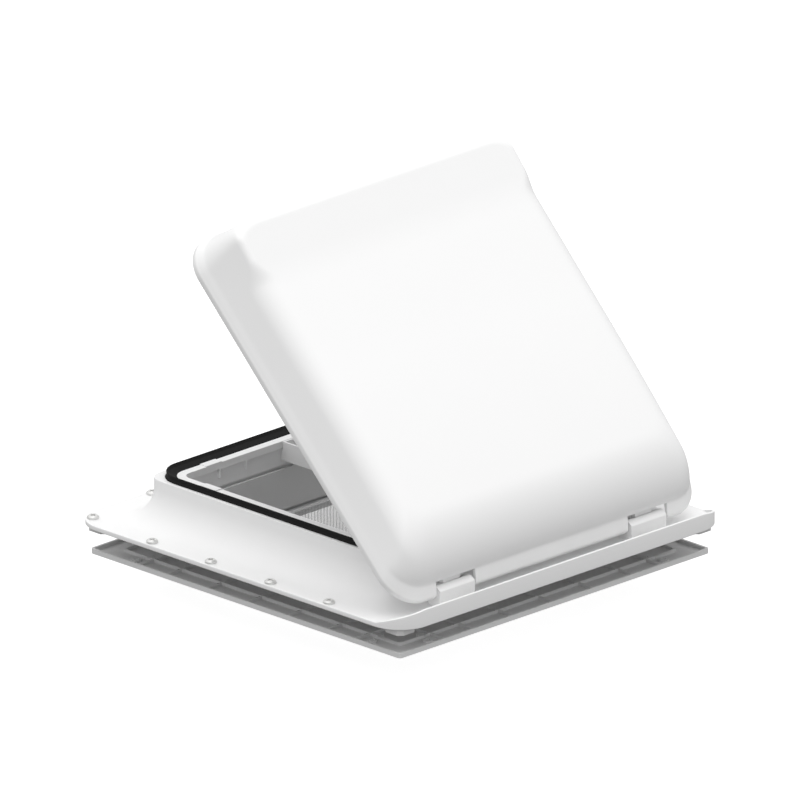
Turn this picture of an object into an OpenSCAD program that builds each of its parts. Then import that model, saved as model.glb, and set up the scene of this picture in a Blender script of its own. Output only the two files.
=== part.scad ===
// Square roof and deck vent hatch, 280 x 280 mm cut-out, for clamping through a panel.
// Z = 0 is the underside of the flange, where it rests on the panel. The hinge side is -Y.
// It is drawn with the lid held open. The lid closes when its hinge turns back by open_angle.

/* [Outer frame] */
// Half the side of the square flange
flange_half = 200; // [197:1:204]
// Corner radius of the flange
flange_r = 30.5; // [26:0.5:34]
// Thickness of the flange
flange_t = 4.4; // [3.6:0.2:5]
// Height of the raised lip along the hinge side, above the panel
lip_h = 15.9; // [12:0.1:17]
// Half the outside width of the raised curb
curb_half = 154; // [153.6:0.2:155]
// Height of the curb above the panel
curb_top = 42.7; // [42.4:0.1:43]
// Radius of the cove between the curb and the flange
cove_r = 29.2; // [26:0.2:30]
// How far the neck reaches down into the cut-out
neck_depth = 14; // [8:1:15]

/* [Lid] */
// Angle at which the lid is held open
open_angle = 45; // [45]
// Half the width of the lid
lid_half = 185.6; // [184:0.2:186]
// Wall thickness of the lid
lid_wall = 2.6; // [2.2:0.2:3]

/* [Trim frame] */
// Half the outside width of the clamping trim frame
trim_half = 188; // [184:1:192]
// Height of its underside, below the panel's top face
trim_bottom = -27.5; // [-28:0.1:-27]
// Height of the face that clamps the panel
trim_face = -22.8; // [-23:0.1:-22.5]

/* [Lift gear] */
// Teeth on the worm wheel
wheel_teeth = 24; // [24]
// Thickness of the lift arm
arm_t = 4.4; // [4:0.1:4.6]
// Length of the crank, from its shaft to its knob
crank_len = 44; // [36:1:50]

/* [Hidden] */

// Directions, as multipliers
left = -1;
right = 1;

// Fits
run_gap = 0.06;
slip_gap = 0.1;
past = 1;

// Frame: sections are given as [distance from the middle, height]
curb_corner = curb_half - 16;
neck_corner = 123.2;
frame_inner = 136;
neck_outer = 139.2;
seat_z = 39;
seat_t = 3.5;
ridge_inner = 150.6;
ridge_outer = 152.4;
collar_seat_z = 41;
curb_wall = 3.2;
cove_x = curb_half + cove_r;
cove_z = flange_t + cove_r;
hollow_r = cove_r + curb_wall;
hollow_end_angle = 20;
hollow_end = cove_x - hollow_r * sin(hollow_end_angle);
lip_t = 2.2;
cove_steps = 10;
arc_steps = 8;

// Screws round the flange
screw_row = 193.6;
screw_row_hinge = 191.6;
screw_near = 36.2;
screw_far = 107.3;
screw_corner = 186.3;
screw_corner_hinge = 185.4;
screw_shank_r = 2;
screw_hole_r = 2.2;
screw_head_r = 5.2;
screw_head_h = 3;
side_screw_len = 4;
corner_screw_len = 10;
spacer_at = 180;
spacer_half = 10.8;
spacer_chamfer = 4;
spacer_bottom = -6;

// Seal and inner collar
seal_tip = [149.7, 48.1];
collar_inner = 132.4;
collar_top = 43.3;
lug_x = [84, 102.5];
lug_proud = 0.8;
collar_rib_x = [54, 86];

// Crossbar
bar_half = 10.3;
bar_wall = 1.5;
bar_z0 = 26;
bar_z1 = 43;
bar_end = 132.2;
bar_tongue_end = 134.3;
bar_end_wall = 1.6;
bar_screw_x = 5;
bar_screw_z = 32;

// Hinges
hinge_y = -178.5;
hinge_z = 17.2;
hinge_x = 116.3;
block_half = 21.25;
block_slot_half = 11;
notch_half = 23.8;
pin_r = 2.5;
pin_half = 19.5;
lug_half = 10;
lug_r = 4.6;
block_screw_x = 16;
block_screw_y = -177;
block_screw_seat = 1.8;

// Lid: heights are those of the closed lid
lid_front = -183.2;
lid_back = 189.7;
lid_r = 33;
skirt_z0 = 16.1;
skirt_z1 = 21.8;
foot_z = 29.9;
bevel_in = 4.5;
bevel_in_front = 10.2;
side_rise = 35.4;
side_angle = 67;
shoulder_r = 25;
brow_shoulder_r = 7;
brow_y = [118, 142];
back_rise = 38;
back_angle = 78;
back_r = 7;
front_run = 54;
lid_side_ys = [-100, -60, -20, 20, 60, 90, 104, 112, 118, 124, 130, 135, 140, 145, 150];
rib_half = 149.7;
rib_z = 48.6;
rail_boss_z = 60;

// Lift gear: the arm's pivot is as far from the arm's tip as from the lid hinge,
// so the arm turns exactly twice as far as the lid
arm_y = -38.5;
arm_z = 12;
arm_len = norm([arm_y - hinge_y, arm_z - hinge_z]);
base_angle = atan2(arm_z - hinge_z, arm_y - hinge_y);
slot_angle = 6.5;
arm_closed = 2 * slot_angle - base_angle;
arm_open = arm_closed + 2 * open_angle;
slot_far = 2 * arm_len * cos(slot_angle - base_angle);
slot_near = 2 * arm_len * cos(slot_angle + open_angle - base_angle);
arm_h = 10.4;
arm_hub_r = 8.5;
arm_tip_r = 7;
shaft_r = 4;
roller_r = 4;
roller_pin_r = 2.5;
roller_x0 = 2.9;
roller_x1 = 7.1;
slot_half = roller_r + 0.3;
rail_x0 = 5.2;
rail_t = 1.6;
rail_x1 = rail_x0 + rail_t;
rail_top = rail_boss_z;
rail_web = 1.5;
rail_foot_half = 15;
rail_y0 = -27;
rail_y1 = 108;
rail_screw_x = 10.8;
rail_screw_ys = [-20, 40, 101];

// Worm and wheel
wheel_pitch_r = 16;
worm_pitch_r = 5.5;
tooth_pitch = 2 * PI * wheel_pitch_r / wheel_teeth;
tooth_out = 1.2;
tooth_in = 1.6;
wheel_x0 = 2.9;
wheel_t = 4;
worm_x = wheel_x0 + wheel_t / 2;
worm_y = arm_y - wheel_pitch_r - worm_pitch_r;
worm_turns = 4;
worm_journal_r = 3;
crank_shaft_r = 4;
crank_shaft_z = -37;

// Gearbox
box_half = 15;
box_wall = 2.5;
box_y0 = -74;
box_y1 = -16;
box_z0 = -8;
box_top_t = 3;
cover_t = 2.5;
cover_z = box_z0 - cover_t;
bush_wall = 2;
box_boss_r = 3.4;
box_screw_spots = [[-11, -70], [11, -70], [-11, -20], [11, -20]];

// Crank
hub_r = 9;
crank_z0 = -38;
crank_z1 = -30;
knob_r = 11;
knob_top = -39;
knob_bottom = -60;

// Trim frame
trim_corner = 122;
trim_r = 3;
trim_floor = 1.5;
trim_rim = 2.4;
sleeve = [131, 133.6];
sleeve_top = 18.2;
sleeve_bottom = -18.6;
recess = [135.3, 137.5];
trim_inner_wall = [166.5, 168.5];
rib_t = 1.6;
rib_spots = [-131, -97, -48.5, 0, 48.5, 97, 131];
trim_hole_r = 2.2;
trim_boss_r = 4.5;
trim_boss_a = 177;
trim_boss_b = 143;
trim_post = [165, 140];

// Flyscreen
screen_half = 134.4;
screen_in = 125;
screen_z0 = -27;
screen_z1 = -22.2;
mesh_z = -23.6;
mesh_t = 0.8;
grommet_r = 13;

// ---------- helpers ----------

// Points of a rounded rectangle between two corners
function rr_points(x0, y0, x1, y1, r, steps = arc_steps) = [
    for (c = [[x1 - r, y1 - r, 0], [x0 + r, y1 - r, 90], [x0 + r, y0 + r, 180], [x1 - r, y0 + r, 270]])
        for (i = [0 : steps]) [c[0] + r * cos(c[2] + 90 * i / steps), c[1] + r * sin(c[2] + 90 * i / steps)]
];

// Upright prism with a centred rounded square outline
module rr_prism(half, r, z0, z1) {
    translate([0, 0, z0]) linear_extrude(z1 - z0) polygon(rr_points(-half, -half, half, half, r));
}

// Centred block from a half width in X and a half width in Y
module slab(hx, hy, z0, z1) {
    translate([-hx, -hy, z0]) cube([2 * hx, 2 * hy, z1 - z0]);
}

// Block between two corners
module block(a, b) {
    translate(a) cube(b - a);
}

// Sweeps a section, drawn as [distance from the middle, height], round a square with round corners
module ring_sweep(corner) {
    for (i = [0 : 3]) rotate([0, 0, 90 * i]) {
        translate([0, corner, 0]) rotate([90, 0, 0]) linear_extrude(2 * corner) children();
        translate([corner, corner, 0]) rotate_extrude(angle = 90, $fn = 96) translate([-corner, 0]) children();
    }
}

// Cylinder along X, between two X positions
module x_rod(r, x0, x1, fn = 48) {
    translate([x0, 0, 0]) rotate([0, 90, 0]) cylinder(r = r, h = x1 - x0, $fn = fn);
}

// Repeats its children in all four quadrants
module quadrants() {
    for (i = [0 : 3]) rotate([0, 0, 90 * i]) children();
}

// Turns the lid and what it carries from closed to open
module opened() {
    translate([0, hinge_y, hinge_z]) rotate([open_angle, 0, 0])
        translate([0, -hinge_y, -hinge_z]) children();
}

// Prism along X of an outline drawn as [Y, Z]
module yz_prism(x0, x1) {
    translate([x0, 0, 0]) rotate([90, 0, 90]) linear_extrude(x1 - x0) children();
}

// Pan-head screw with a cross recess; Z = 0 is the underside of the head
module pan_screw(shank_r, len, head_r, head_h) {
    difference() {
        union() {
            translate([0, 0, -len]) cylinder(r = shank_r, h = len + head_h / 2, $fn = 24);
            cylinder(r = head_r, h = head_h * 0.55, $fn = 32);
            translate([0, 0, head_h * 0.55]) cylinder(r1 = head_r, r2 = head_r * 0.72, h = head_h * 0.45, $fn = 32);
        }
        for (a = [0, 90]) rotate([0, 0, a])
            slab(head_r * 0.55, head_r * 0.13, head_h * 0.45, head_h + past);
    }
}

// The places of the screws along the flange's sides; those of the hinge side stand clear of its lip
module at_side_screws() {
    for (i = [0 : 3], x = [-screw_far, -screw_near, screw_near, screw_far])
        rotate([0, 0, 90 * i]) translate([x, i == 2 ? screw_row_hinge : screw_row, 0]) children();
}

// The places of the screws at the flange's corners
module at_corner_screws() {
    for (i = [0 : 3]) let (at = i < 2 ? screw_corner : screw_corner_hinge)
        rotate([0, 0, 90 * i]) translate([at, at, 0]) children();
}

// The places of the screws under the hinge blocks
module at_block_screws() {
    for (side = [left, right], x = [-block_screw_x, block_screw_x])
        translate([side * hinge_x + x, block_screw_y, 0]) children();
}

// ---------- frame ----------

// Section through one side of the neck, with the seat of the seal and the collar
module neck_section() {
    polygon([[frame_inner, -neck_depth], [neck_outer, -neck_depth], [neck_outer, seat_z - seat_t],
        [ridge_outer, seat_z - seat_t], [ridge_outer, curb_top], [ridge_inner, curb_top],
        [ridge_inner, seat_z], [neck_outer, seat_z], [neck_outer, collar_seat_z],
        [frame_inner, collar_seat_z]]);
}

// Section through one side of the curb's wall and cove, hollow underneath
module curb_section() {
    cove = [for (i = [0 : cove_steps]) let (a = 90 - 90 * i / cove_steps)
        [cove_x - cove_r * sin(a), cove_z - cove_r * cos(a)]];
    hollow = [for (i = [0 : cove_steps]) let (a = hollow_end_angle + (90 - hollow_end_angle) * i / cove_steps)
        [cove_x - hollow_r * sin(a), cove_z - hollow_r * cos(a)]];
    polygon(concat([[curb_half - curb_wall, curb_top], [curb_half, curb_top]], cove,
        [[cove_x, 0], [hollow_end, 0]], hollow));
}

// Height of the lip, from full at the hinge side to none where the corner ends
module lip_side() {
    drop = lip_h - flange_t;
    fall = [for (a = [90 : -7.5 : 0]) [
        -flange_half + flange_r * (1 - sin(a)), flange_t + drop * (sin(a) + a / 90) / 2]];
    polygon(concat([[-flange_half - past, 0.5], [-flange_half - past, lip_h]],
        fall, [[-flange_half + flange_r, 0.5]]));
}

module flange_hole() {
    translate([0, 0, -past]) cylinder(r = screw_hole_r, h = flange_t + 2 * past, $fn = 24);
}

module outer_frame() {
    color("white") difference() {
        union() {
            difference() {
                rr_prism(flange_half, flange_r, 0, flange_t);
                rr_prism(hollow_end, hollow_end - curb_corner, -past, flange_t + past);
            }
            ring_sweep(neck_corner) neck_section();
            ring_sweep(curb_corner) curb_section();
            difference() {
                rr_prism(curb_half - 0.5, curb_half - 0.5 - curb_corner, curb_top - curb_wall, curb_top);
                rr_prism(ridge_inner, ridge_inner - neck_corner, 0, curb_top + past);
            }
            intersection() {
                difference() {
                    rr_prism(flange_half, flange_r, 0.5, lip_h);
                    rr_prism(flange_half - lip_t, flange_r - lip_t, 0, lip_h + past);
                }
                yz_prism(-flange_half - past, flange_half + past) lip_side();
            }
        }
        at_side_screws() flange_hole();
        at_corner_screws() flange_hole();
        for (side = [left, right]) translate([side * hinge_x, 0, 0])
            block([-block_half - slip_gap, -187, flange_t], [block_half + slip_gap, -171, 30]);
        at_block_screws() {
            translate([0, 0, -past]) cylinder(r = 1.5, h = flange_t + 2 * past, $fn = 24);
            translate([0, 0, -past]) cylinder(r = 3.2, h = block_screw_seat + past, $fn = 32);
        }
    }
}

module corner_spacers() {
    a = spacer_half;
    b = spacer_half - spacer_chamfer;
    color("gainsboro") difference() {
        quadrants() translate([spacer_at, spacer_at, spacer_bottom]) linear_extrude(-spacer_bottom)
            polygon([[a, -b], [a, b], [b, a], [-b, a], [-a, b], [-a, -b], [-b, -a], [b, -a]]);
        at_corner_screws() translate([0, 0, spacer_bottom - past])
            cylinder(r = screw_hole_r, h = -spacer_bottom + 2 * past, $fn = 24);
    }
}

module flange_screws() {
    color("lightgray") translate([0, 0, flange_t]) {
        at_side_screws() pan_screw(screw_shank_r, side_screw_len, screw_head_r, screw_head_h);
        at_corner_screws() pan_screw(screw_shank_r, corner_screw_len, screw_head_r, screw_head_h);
    }
}

module curb_seal() {
    color("black") ring_sweep(neck_corner) polygon([[140.6, seat_z], [150.3, seat_z], [150.3, 42.6],
        [149.0, 43.1], [seal_tip[0], seal_tip[1]], [148.7, 48.3], [140.6, collar_top]]);
}

module inner_collar() {
    color("white") difference() {
        union() {
            ring_sweep(neck_corner) polygon([[collar_inner, 37], [134.4, 37], [134.4, 20.5], [135.8, 20.5],
                [135.8, collar_seat_z], [140.4, collar_seat_z], [140.4, collar_top], [collar_inner, collar_top]]);
            quadrants() for (side = [left, right]) {
                block([side > 0 ? lug_x[0] : -lug_x[1], collar_inner, collar_top - 0.5],
                    [side > 0 ? lug_x[1] : -lug_x[0], 140.4, collar_top + lug_proud]);
                for (x = collar_rib_x) translate([side * x, 0, 0])
                    block([-0.6, 131.6, 29], [0.6, 134.6, 37.2]);
            }
        }
        for (y = [left, right], x = [left, right]) translate([x * bar_screw_x, y * 136, bar_screw_z])
            rotate([90, 0, 0]) translate([0, 0, -5]) cylinder(r = 1.5, h = 10, $fn = 24);
    }
}

// ---------- crossbar ----------

module crossbar() {
    color("white") difference() {
        union() {
            slab(bar_half, bar_end, bar_z0, bar_z1);
            slab(bar_half, bar_tongue_end, bar_z0, 36);
        }
        slab(bar_half - bar_wall, bar_end - bar_end_wall, bar_z0 + bar_wall, bar_z1 + past);
        block([-bar_half + bar_wall, -66, bar_z0 - past], [bar_half - bar_wall, -18, bar_z0 + 3]);
        block([-4.2, -20, bar_z0 - past], [4.2, 46, bar_z0 + 3]);
        for (y = [left, right], x = [left, right]) translate([x * bar_screw_x, y * bar_end, bar_screw_z])
            rotate([90, 0, 0]) translate([0, 0, -5]) cylinder(r = 1.7, h = 10, $fn = 24);
    }
}

module crossbar_screws() {
    color("silver") for (y = [left, right], x = [left, right])
        translate([x * bar_screw_x, y * (bar_end - bar_end_wall), bar_screw_z]) rotate([y * 90, 0, 0])
            pan_screw(1.5, 5.2, 2.8, 1.8);
}

// ---------- hinges ----------

// Side view of a hinge block: front wall, sloping hood and cheek
module block_outline() {
    polygon([[-186, flange_t], [-186, 19.9], [-185.3, 21.1], [-181.4, 23.7], [-180.2, 24.1], [-179.5, 24.1],
        [-174, 22.6], [-172, 19], [-171.5, flange_t]]);
}

module hinge_block(side) {
    color("white") translate([side * hinge_x, 0, 0]) difference() {
        yz_prism(-block_half, block_half) block_outline();
        yz_prism(-block_slot_half, block_slot_half) polygon([[-183.6, flange_t + 2],
            [-183.6, 19.4], [-179.4, 22.4], [-179.4, 26], [-170, 26], [-170, flange_t + 2]]);
        translate([0, hinge_y, hinge_z]) x_rod(pin_r + 0.01, -pin_half, block_half + past);
        for (x = [-block_screw_x, block_screw_x]) translate([x, block_screw_y, flange_t - past])
            cylinder(r = 1.5, h = 8, $fn = 24);
    }
}

module hinge_block_left() { hinge_block(left); }
module hinge_block_right() { hinge_block(right); }

module hinge_pin(side) {
    color("silver") translate([side * hinge_x, hinge_y, hinge_z]) x_rod(pin_r, -pin_half, pin_half);
}

module hinge_pin_left() { hinge_pin(left); }
module hinge_pin_right() { hinge_pin(right); }

module hinge_block_screws() {
    color("silver") at_block_screws() translate([0, 0, block_screw_seat]) rotate([180, 0, 0])
        pan_screw(1.4, 8.6, 3, 1.6);
}

// ---------- trim frame ----------

module trim_section() {
    polygon([[recess[0], trim_bottom], [recess[1], trim_bottom], [recess[1], sleeve_bottom + 2],
        [sleeve[1], sleeve_bottom + 2], [sleeve[1], sleeve_top], [sleeve[0], sleeve_top],
        [sleeve[0], sleeve_bottom], [recess[0], sleeve_bottom]]);
}

module trim_frame() {
    floor_top = trim_bottom + trim_floor;
    color("whitesmoke") difference() {
        union() {
            ring_sweep(trim_corner) trim_section();
            difference() {
                rr_prism(trim_half, trim_r, trim_bottom, floor_top);
                rr_prism(recess[1] - 0.5, recess[1] - 0.5 - trim_corner, trim_bottom - past, floor_top + past);
            }
            difference() {
                rr_prism(trim_half, trim_r, trim_bottom + 0.5, trim_face);
                rr_prism(trim_half - trim_rim, 1.5, trim_bottom, trim_face + past);
            }
            difference() {
                rr_prism(trim_inner_wall[1], 4, trim_bottom + 0.5, trim_face - 0.3);
                rr_prism(trim_inner_wall[0], 3, trim_bottom, trim_face + past);
            }
            quadrants() {
                for (x = rib_spots) block([x - rib_t / 2, recess[1] - 0.5, trim_bottom + 0.5],
                    [x + rib_t / 2, trim_half - 1, trim_face - 0.4]);
                for (p = [[trim_boss_a, trim_boss_b], [trim_boss_b, trim_boss_a]])
                    translate([p[0], p[1], trim_bottom + 0.5]) cylinder(r = trim_boss_r, h = 3, $fn = 32);
                for (p = [[trim_post[0], trim_post[1]], [trim_post[1], trim_post[0]]])
                    translate([p[0], p[1], trim_bottom + 0.5])
                        cylinder(r = 4, h = trim_face - 0.2 - trim_bottom - 0.5, $fn = 32);
            }
        }
        quadrants() for (p = [[trim_boss_a, trim_boss_b], [trim_boss_b, trim_boss_a]])
            translate([p[0], p[1], trim_bottom - past]) cylinder(r = trim_hole_r, h = 8, $fn = 32);
    }
}

// ---------- flyscreen ----------

module screen_frame() {
    color("whitesmoke") difference() {
        rr_prism(screen_half, 11, screen_z0, screen_z1);
        rr_prism(screen_in, 6, screen_z0 - past, mesh_z);
        rr_prism(screen_in + 4, 8, mesh_z, screen_z1 + past);
    }
}

module screen_mesh() {
    color("dimgray") difference() {
        rr_prism(screen_in + 3.9, 8, mesh_z, mesh_z + mesh_t);
        translate([worm_x, worm_y, mesh_z - past]) cylinder(r = grommet_r - 3, h = 3, $fn = 48);
    }
}

module screen_clips() {
    color("white") quadrants() for (x = [-70, 70]) difference() {
        block([x - 8, screen_in + 1, screen_z0 - 1.2], [x + 8, recess[1] + 6, screen_z0]);
        block([x - 9, recess[0] - slip_gap, trim_bottom], [x + 9, recess[1] + 7, screen_z0 + past]);
    }
}

module screen_grommet() {
    color("white") translate([worm_x, worm_y, 0]) difference() {
        union() {
            translate([0, 0, mesh_z + mesh_t]) cylinder(r = grommet_r, h = 1.2, $fn = 64);
            translate([0, 0, mesh_z - 1.2]) cylinder(r = grommet_r - 3.05, h = 2.4 + mesh_t, $fn = 64);
            translate([0, 0, mesh_z - 1.2]) cylinder(r = grommet_r, h = 1.2, $fn = 64);
        }
        translate([0, 0, mesh_z - 3]) cylinder(r = crank_shaft_r + 0.6, h = 8, $fn = 48);
    }
}

// ---------- gearbox ----------

module gearbox_housing() {
    color("gainsboro") difference() {
        block([-box_half, box_y0, box_z0], [box_half, box_y1, bar_z0]);
        difference() {
            block([-box_half + box_wall, box_y0 + box_wall, box_z0 - past],
                [box_half - box_wall, box_y1 - box_wall, bar_z0 - box_top_t]);
            for (p = box_screw_spots) translate([p[0], p[1], box_z0 - past])
                cylinder(r = box_boss_r, h = bar_z0 - box_z0, $fn = 32);
        }
        block([-bar_half + bar_wall, -56.5, bar_z0 - box_top_t - past], [bar_half - bar_wall, -18, bar_z0 + past]);
        block([-3.4, -20, 8], [3.4, box_y1 + past, bar_z0 + past]);
        translate([0, arm_y, arm_z]) x_rod(shaft_r + bush_wall, -box_half - past, box_half + past);
        translate([worm_x, worm_y, bar_z0 - box_top_t - past]) cylinder(r = worm_journal_r + bush_wall, h = 8, $fn = 48);
        for (p = box_screw_spots) translate([p[0], p[1], box_z0 - past]) cylinder(r = 1.3, h = 12, $fn = 24);
    }
}

module gearbox_cover() {
    color("gainsboro") difference() {
        union() {
            block([-box_half, box_y0, cover_z], [box_half, box_y1, box_z0]);
            translate([worm_x, worm_y, cover_z - 3]) cylinder(r = 8.5, h = 3.5, $fn = 64);
        }
        translate([worm_x, worm_y, cover_z - 5]) cylinder(r = crank_shaft_r + bush_wall, h = 12, $fn = 48);
        for (p = box_screw_spots) translate([p[0], p[1], cover_z - past]) cylinder(r = 1.6, h = 6, $fn = 24);
    }
}

module gearbox_screws() {
    color("silver") for (p = box_screw_spots) translate([p[0], p[1], cover_z]) rotate([180, 0, 0])
        pan_screw(1.25, 10, 2.6, 1.6);
}

module bush(r, len) {
    difference() {
        cylinder(r = r + bush_wall, h = len, $fn = 64);
        translate([0, 0, -past]) cylinder(r = r + run_gap, h = len + 2 * past, $fn = 64);
    }
}

module worm_bushes() {
    color("ivory") {
        translate([worm_x, worm_y, bar_z0 - box_top_t]) bush(worm_journal_r, box_top_t);
        translate([worm_x, worm_y, cover_z - 3]) bush(crank_shaft_r, cover_t + 3);
    }
}

module arm_bushes() {
    color("ivory") for (x = [-box_half, box_half - box_wall])
        translate([x, arm_y, arm_z]) rotate([0, 90, 0]) bush(shaft_r, box_wall);
}

// ---------- lid ----------

// Height of the dome's top along Y: a soft crown, then a ramp up to the brow at the free end
function smooth(t) = let (u = min(1, max(0, t))) u * u * (3 - 2 * u);
function ramp(y) = y < 112 ? 0 : y < 140 ? 2.4 * pow((y - 112) / 28, 2) : 2.4 + 0.04 * (y - 140);
function crown(y) = 65.4 - 7.2 * pow(max(0, (20 - y) / 190), 2) + 0.5 * smooth((y - 20) / 90) + ramp(y);

// How far in a wall of the dome is at a fraction f of its rise: it leans at an angle, then rounds over
function wall_in(f, rise, angle, r) = let (
        z = f * rise,
        arc_z = rise - r * (1 - cos(angle)))
    z <= arc_z ? z / tan(angle)
        : arc_z / tan(angle) + r * sin(angle) - sqrt(max(0, pow(r, 2) - pow(r - rise + z, 2)));
function side_in(f, r = shoulder_r) = wall_in(f, side_rise, side_angle, r);
function back_in(f) = wall_in(f, back_rise, back_angle, back_r);
function front_in(f) = front_run * (1 - sqrt(max(0, 1 - pow(f, 1.5))));

// How much further out the side is where the brow's tighter shoulder replaces the soft one
function brow_out(y, f) = let (t = smooth((y - brow_y[0]) / (brow_y[1] - brow_y[0])))
    side_in(f) - side_in(f, shoulder_r + (brow_shoulder_r - shoulder_r) * t);

// The right half of a rounded outline, from front to back, with points along its side
function half_outline(x1, y0, y1, r) = concat(
    [for (i = [0 : arc_steps]) [x1 - r + r * sin(90 * i / arc_steps), y0 + r - r * cos(90 * i / arc_steps)]],
    [for (y = lid_side_ys) [x1, y]],
    [for (i = [0 : arc_steps]) [x1 - r + r * cos(90 * i / arc_steps), y1 - r + r * sin(90 * i / arc_steps)]]);

// One ring of the lid: insets at the side, front and back, corner radius, height and dome fraction
function lid_ring(side_d, front_d, back_d, r, z, f, wall) = let (
        x1 = lid_half - side_d - wall,
        half_ring = [for (p = half_outline(x1, lid_front + front_d + wall, lid_back - back_d - wall,
                max(2, r - wall))) let (share = max(0, 1 - (x1 - p[0]) / r)) [
            p[0] + (f < 0 ? 0 : share * brow_out(p[1], f)), p[1],
            f < 0 ? z : foot_z + f * (crown(p[1]) - foot_z) - wall]],
        last = len(half_ring) - 1)
    concat(half_ring, [for (i = [last : -1 : 0]) [-half_ring[i][0], half_ring[i][1], half_ring[i][2]]]);

dome_levels = [0, 0.12, 0.26, 0.4, 0.54, 0.66, 0.77, 0.86, 0.92, 0.96, 0.985, 1];

// The lid's surface as a stack of rings, moved inwards by wall
function lid_rings(wall) = concat(
    [lid_ring(0, 0, 0, lid_r, wall > 0 ? skirt_z0 - past : skirt_z0, -1, wall),
        lid_ring(0, 0, 0, lid_r, skirt_z1 - wall / 3, -1, wall)],
    [for (f = dome_levels) lid_ring(bevel_in + side_in(f), bevel_in_front + front_in(f),
        bevel_in + back_in(f), lid_r - 5 - 14 * f, 0, f, wall)]);

module lid_solid(wall) {
    rings = lid_rings(wall);
    n = len(rings[0]);
    top = (len(rings) - 1) * n;
    polyhedron(
        points = [for (ring = rings) for (p = ring) p],
        faces = concat(
            [for (i = [0 : n / 2 - 2]) each [[i, i + 1, n - 2 - i], [i, n - 2 - i, n - 1 - i]]],
            [for (k = [0 : len(rings) - 2]) for (i = [0 : n - 1]) let (j = (i + 1) % n)
                each [[k * n + i, (k + 1) * n + i, (k + 1) * n + j], [k * n + i, (k + 1) * n + j, k * n + j]]],
            [for (i = [0 : n / 2 - 2]) each [
                [top + i, top + n - 2 - i, top + i + 1], [top + i, top + n - 1 - i, top + n - 2 - i]]]));
}

module lid_closed() {
    difference() {
        lid_solid(0);
        difference() {
            lid_solid(lid_wall);
            difference() {
                rr_prism(rib_half + 1.2, rib_half + 1.2 - neck_corner, rib_z, 90);
                rr_prism(rib_half - 1.2, rib_half - 1.2 - neck_corner, 0, 91);
            }
            for (y = rail_screw_ys, x = [left, right]) translate([x * rail_screw_x, y, rail_boss_z])
                cylinder(r = 4.5, h = 20, $fn = 24);
        }
        for (side = [left, right]) translate([side * hinge_x, 0, 0])
            block([-notch_half, lid_front - 5, skirt_z0 - 5], [notch_half, lid_front + 16, foot_z - 0.2]);
        for (y = rail_screw_ys, x = [left, right]) translate([x * rail_screw_x, y, rail_boss_z - past])
            cylinder(r = 1.3, h = 3.4, $fn = 16);
    }
}

module lid_shell() {
    color("white") opened() lid_closed();
}

// Side view of the lug, from the hinge pin
module lug_outline() {
    difference() {
        union() {
            circle(r = lug_r, $fn = 64);
            polygon([[-3.0, 3.2], [3.3, -3.2], [19.4, 12.9], [19.4, 24.0], [15.3, 20.8], [11, 16.4],
                [11, 11.8], [-0.3, 0.5]]);
        }
        circle(r = pin_r + run_gap, $fn = 64);
    }
}

module lid_hinge(side) {
    color("white") opened() translate([side * hinge_x, hinge_y, hinge_z])
        yz_prism(-lug_half, lug_half) lug_outline();
}

module lid_hinge_left() { lid_hinge(left); }
module lid_hinge_right() { lid_hinge(right); }

// The slotted track, seen from the side, drawn along the closed lid
module rail_plate_outline() {
    low = roller_r + 2.9;
    function on_slot(d, off) = [hinge_y + d * cos(slot_angle) - off * sin(slot_angle),
        hinge_z + d * sin(slot_angle) + off * cos(slot_angle)];
    difference() {
        polygon([on_slot(slot_near - 8, -low), on_slot(slot_far + 8.5, -low),
            on_slot(slot_far + 10, 0), [rail_y1, rail_top], [rail_y0, rail_top],
            on_slot(slot_near - 9.5, 0)]);
        polygon([on_slot(slot_near, -slot_half), on_slot(slot_far, -slot_half),
            on_slot(slot_far, slot_half), on_slot(slot_near, slot_half)]);
        for (d = [slot_near, slot_far]) translate(on_slot(d, 0)) circle(r = slot_half, $fn = 48);
    }
}

module lid_rail() {
    color("silver") opened() difference() {
        union() {
            for (x = [-rail_x1, rail_x0]) yz_prism(x, x + rail_t) rail_plate_outline();
            block([-rail_foot_half, rail_y0, rail_top - rail_web], [rail_foot_half, rail_y1, rail_top]);
        }
        for (y = rail_screw_ys, x = [left, right]) translate([x * rail_screw_x, y, rail_top - 4])
            cylinder(r = 1.6, h = 8, $fn = 24);
    }
}

module lid_rail_screws() {
    color("silver") opened() for (y = rail_screw_ys, x = [left, right])
        translate([x * rail_screw_x, y, rail_top - rail_web]) rotate([180, 0, 0]) pan_screw(1.25, 3.6, 2.8, 1.7);
}

// ---------- lift gear ----------

// Places the lift arm and what turns with it; local Y runs along the arm
module on_arm() {
    translate([0, arm_y, arm_z]) rotate([arm_open, 0, 0]) children();
}

module arm_shaft() {
    color("silver") translate([0, arm_y, arm_z]) x_rod(shaft_r, -box_half - 1, box_half + 1, 64);
}

module worm_wheel() {
    root = wheel_pitch_r - tooth_in;
    tip = wheel_pitch_r + tooth_out;
    half_root = 1.15;
    half_tip = 0.5;
    color("gold") translate([wheel_x0, arm_y, arm_z]) rotate([0, 90, 0]) difference() {
        linear_extrude(wheel_t) union() {
            circle(r = root, $fn = 96);
            for (i = [0 : wheel_teeth - 1]) rotate([0, 0, i * 360 / wheel_teeth])
                polygon([[root - 0.5, -half_root], [root, -half_root], [tip, -half_tip], [tip, half_tip],
                    [root, half_root], [root - 0.5, half_root]]);
        }
        translate([0, 0, -past]) cylinder(r = shaft_r + 0.01, h = wheel_t + 2 * past, $fn = 64);
    }
}

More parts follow.
